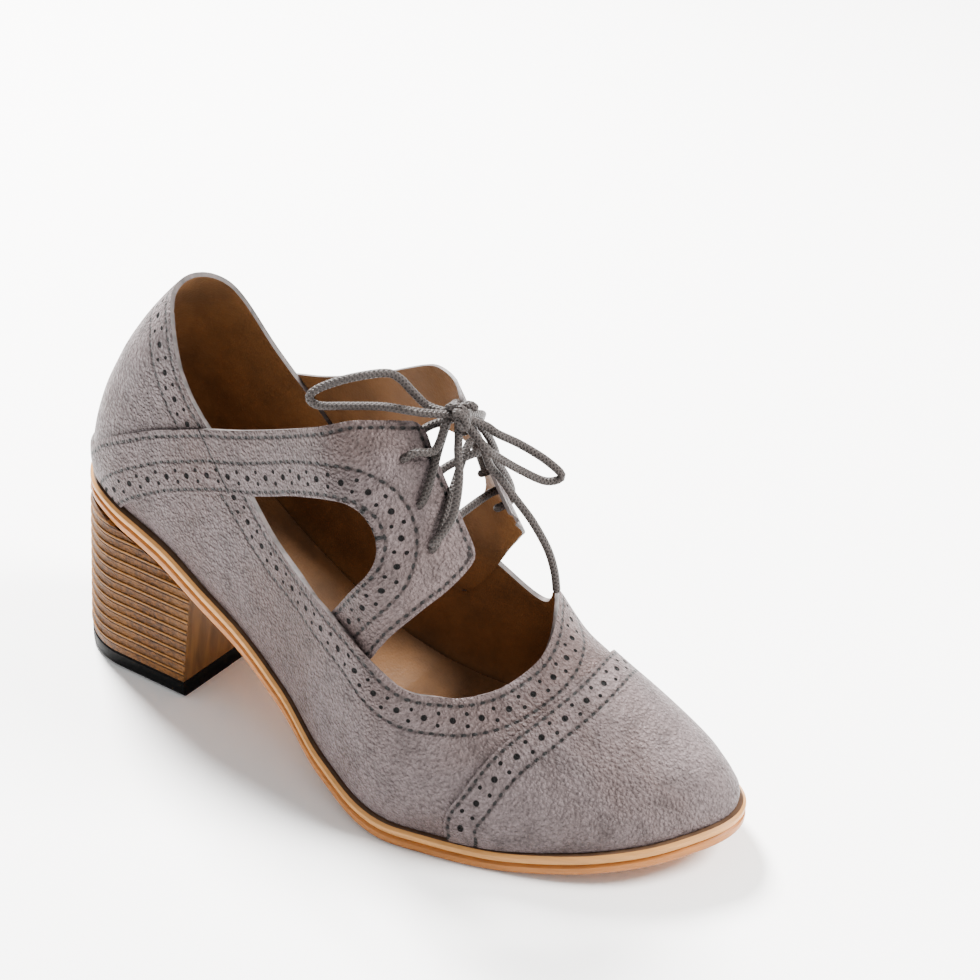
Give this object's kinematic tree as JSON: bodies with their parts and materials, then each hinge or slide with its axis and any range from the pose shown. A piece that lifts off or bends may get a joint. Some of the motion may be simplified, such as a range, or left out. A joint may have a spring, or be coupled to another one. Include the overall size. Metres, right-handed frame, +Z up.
{
  "type": "heeled cut-out oxford shoe",
  "caption": "Grey-brown leather oxford with a block stacked heel, side cut-outs, open throat, saddle strap, pinhole trim, toe cap and a dark round lace tied in a bow",
  "frame": {"origin": "on the floor under the middle of the shoe's box, cords left out", "axes": "+X from heel to toe, +Y to the medial side, +Z up"},
  "size_m": [0.2401, 0.0875, 0.1386],
  "materials": {
    "upper_leather": "fine pebbled matt leather, taupe grey",
    "lining_leather": "smooth tan lining leather",
    "welt_leather": "light tan waxed edge",
    "sole_edge": "orange-tan waxed edge",
    "heel_stack": "brown stacked layers with thin raised lighter ridges",
    "heel_rubber": "matt black",
    "lace_cord": "round waxed cord, dark grey-brown"
  },
  "bodies": {
    "root": {"upper": "upper_leather", "toe_cap": "upper_leather", "insole": "lining_leather", "midsole": "welt_leather", "outsole": "sole_edge", "heel": "heel_stack", "heel_tip": "heel_rubber", "lace_crossings": "lace_cord", "lace_knot": "lace_cord", "lace_loop_left": "lace_cord", "lace_loop_right": "lace_cord", "lace_end_left": "lace_cord", "lace_end_right": "lace_cord"}
  },
  "joints": []
}
